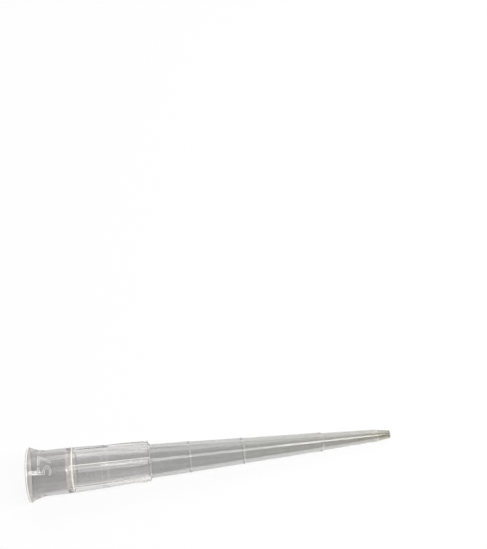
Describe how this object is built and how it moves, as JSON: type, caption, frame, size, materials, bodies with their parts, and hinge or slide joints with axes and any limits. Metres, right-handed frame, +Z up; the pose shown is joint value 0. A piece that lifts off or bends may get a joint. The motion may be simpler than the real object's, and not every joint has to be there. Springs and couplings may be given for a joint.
{
  "type": "pipette tip",
  "caption": "Slender tapered plastic tip with a flared mouth and a ribbed collar, pushed onto a micropipette to draw up and dispense small volumes of liquid.",
  "frame": {"origin": "on the table under the middle of the outline of the lying tip", "axes": "+X from the mouth towards the point, +Z up from the table; the tip lies as it rests, on its lip and on the shoulder of its end cone, so its axis dips towards the point by about 3.3 degrees"},
  "size_m": [0.0512, 0.0074, 0.0074],
  "materials": {
    "clear_plastic": "clear, smooth and slightly hazy moulded polypropylene"
  },
  "bodies": {
    "root": {"pipette_tip": "clear_plastic"}
  },
  "joints": []
}
